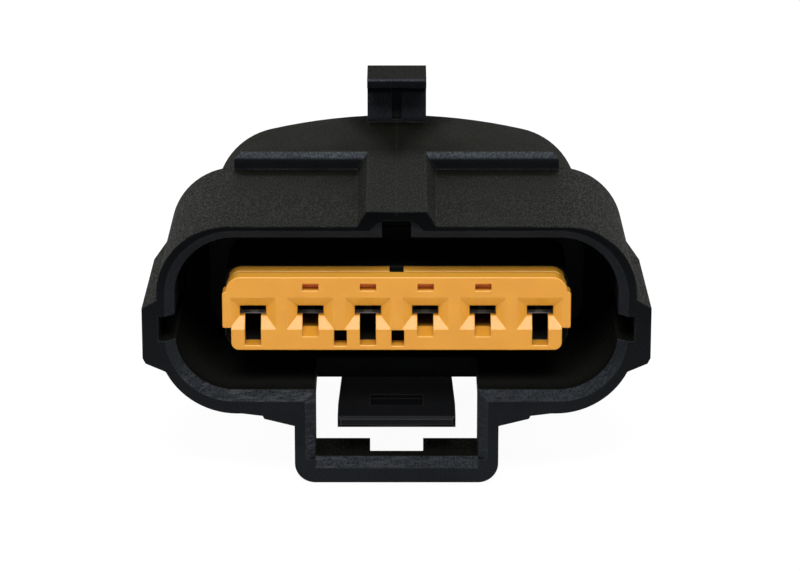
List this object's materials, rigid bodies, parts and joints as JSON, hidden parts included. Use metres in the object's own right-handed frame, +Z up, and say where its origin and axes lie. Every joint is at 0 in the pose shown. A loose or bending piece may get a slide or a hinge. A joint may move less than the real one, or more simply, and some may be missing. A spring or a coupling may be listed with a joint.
{
  "type": "sealed automotive connector",
  "caption": "Sealed socket connector: hooded black housing, amber contact retainer, ring and wire seals, harness-clip hook and a see-saw lock lever behind a guard loop.",
  "frame": {"origin": "middle of the contact row in the plane of the hood's rim", "axes": "+X along the contact row, +Z up through the clip hook, mating face towards -Y"},
  "size_m": [0.0398, 0.0283, 0.0267],
  "materials": {
    "housing_black": "fine spark texture on the outside, satin at the rims",
    "lever_black": "satin",
    "retainer_amber": "satin",
    "ring_rubber": "matt silicone",
    "wire_rubber": "matt silicone",
    "contact_tin": "tin plated, satin",
    "spring_steel": "bright rolled"
  },
  "bodies": {
    "root": {"housing": "housing_black", "ring_seal": "ring_rubber", "terminal_1": "contact_tin", "terminal_2": "contact_tin", "terminal_3": "contact_tin", "terminal_4": "contact_tin", "terminal_5": "contact_tin", "terminal_6": "contact_tin", "terminal_spring_1": "spring_steel", "terminal_spring_2": "spring_steel", "terminal_spring_3": "spring_steel", "terminal_spring_4": "spring_steel", "terminal_spring_5": "spring_steel", "terminal_spring_6": "spring_steel", "wire_seal_1": "wire_rubber", "wire_seal_2": "wire_rubber", "wire_seal_3": "wire_rubber", "wire_seal_4": "wire_rubber", "wire_seal_5": "wire_rubber", "wire_seal_6": "wire_rubber"},
    "retainer": {"front_retainer": "retainer_amber"},
    "lever": {"lock_lever": "lever_black"}
  },
  "joints": [
    {"name": "retainer_slide", "type": "slide", "parent": "root", "child": "retainer", "axis": [0, -1, 0], "range_m": [0, 0.0016]},
    {"name": "lever_rock", "type": "hinge", "parent": "root", "child": "lever", "pos_m": [0, 0.013, -0.0089], "axis": [1, 0, 0], "range_deg": [0, 7], "stiffness_Nm_per_rad": 0.05}
  ]
}
